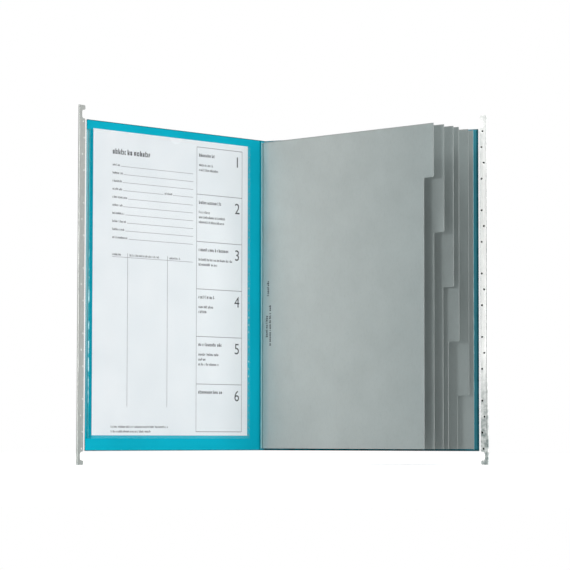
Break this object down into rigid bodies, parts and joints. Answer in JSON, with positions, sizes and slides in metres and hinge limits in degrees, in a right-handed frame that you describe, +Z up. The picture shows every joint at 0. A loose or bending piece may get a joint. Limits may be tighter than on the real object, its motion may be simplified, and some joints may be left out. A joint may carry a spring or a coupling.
{
  "type": "hanging file folder",
  "caption": "Book-like hanging file folder: two board covers on a spine, stepped index dividers, a form in a clear pocket, and metal rails whose hooked ends hang on bars.",
  "frame": {"origin": "middle of the footprint on the floor, with the folder standing open on its lower rail ends", "axes": "+Z up along the spine and the rails, -Y towards the reader, +X to the reader's right"},
  "size_m": [0.401, 0.183, 0.3468],
  "materials": {
    "cover_board": "coated teal board, satin",
    "rail_metal": "zinc-plated folded sheet, satin",
    "clear_film": "clear flexible film, glossy",
    "form_paper": "white printing paper",
    "divider_card": "smooth grey card",
    "binding_paper": "grey-blue paper tape"
  },
  "bodies": {
    "spine": {"spine": "cover_board", "binding_strip": "binding_paper"},
    "front_cover": {"front_cover": "cover_board", "front_rail": "rail_metal", "front_hem": "clear_film", "pocket": "clear_film"},
    "back_cover": {"back_cover": "cover_board", "back_rail": "rail_metal", "back_hem": "clear_film"},
    "form": {"form": "form_paper"},
    "divider_1": {"divider_1": "divider_card"},
    "divider_2": {"divider_2": "divider_card"},
    "divider_3": {"divider_3": "divider_card"},
    "divider_4": {"divider_4": "divider_card"},
    "divider_5": {"divider_5": "divider_card"},
    "divider_6": {"divider_6": "divider_card"}
  },
  "joints": [
    {"name": "front_cover_fold", "type": "hinge", "parent": "spine", "child": "front_cover", "pos_m": [-0.02661, 0.08456, 0.0134], "axis": [0, 0, -1], "range_deg": [-90, 45]},
    {"name": "back_cover_fold", "type": "hinge", "parent": "spine", "child": "back_cover", "pos_m": [-0.02191, 0.09103, 0.0134], "axis": [0, 0, 1], "range_deg": [0, 26]},
    {"name": "divider_6_turn", "type": "hinge", "parent": "spine", "child": "divider_6", "pos_m": [-0.0224, 0.08644, 0.0134], "axis": [0, 0, -1], "range_deg": [-1, 13.5]},
    {"name": "divider_5_turn", "type": "hinge", "parent": "divider_6", "child": "divider_5", "pos_m": [-0.0224, 0.08644, 0.0134], "axis": [0, 0, -1], "range_deg": [-2.6, 13.5]},
    {"name": "divider_4_turn", "type": "hinge", "parent": "divider_5", "child": "divider_4", "pos_m": [-0.0224, 0.08644, 0.0134], "axis": [0, 0, -1], "range_deg": [-4.7, 13.5]},
    {"name": "divider_3_turn", "type": "hinge", "parent": "divider_4", "child": "divider_3", "pos_m": [-0.0224, 0.08644, 0.0134], "axis": [0, 0, -1], "range_deg": [-2.2, 13.5]},
    {"name": "divider_2_turn", "type": "hinge", "parent": "divider_3", "child": "divider_2", "pos_m": [-0.0224, 0.08644, 0.0134], "axis": [0, 0, -1], "range_deg": [-3.7, 13.5]},
    {"name": "divider_1_turn", "type": "hinge", "parent": "divider_2", "child": "divider_1", "pos_m": [-0.0224, 0.08644, 0.0134], "axis": [0, 0, -1], "range_deg": [-3.7, 13.5]},
    {"name": "form_slide", "type": "slide", "parent": "front_cover", "child": "form", "axis": [0, 0, 1], "range_m": [0, 0.28]}
  ]
}
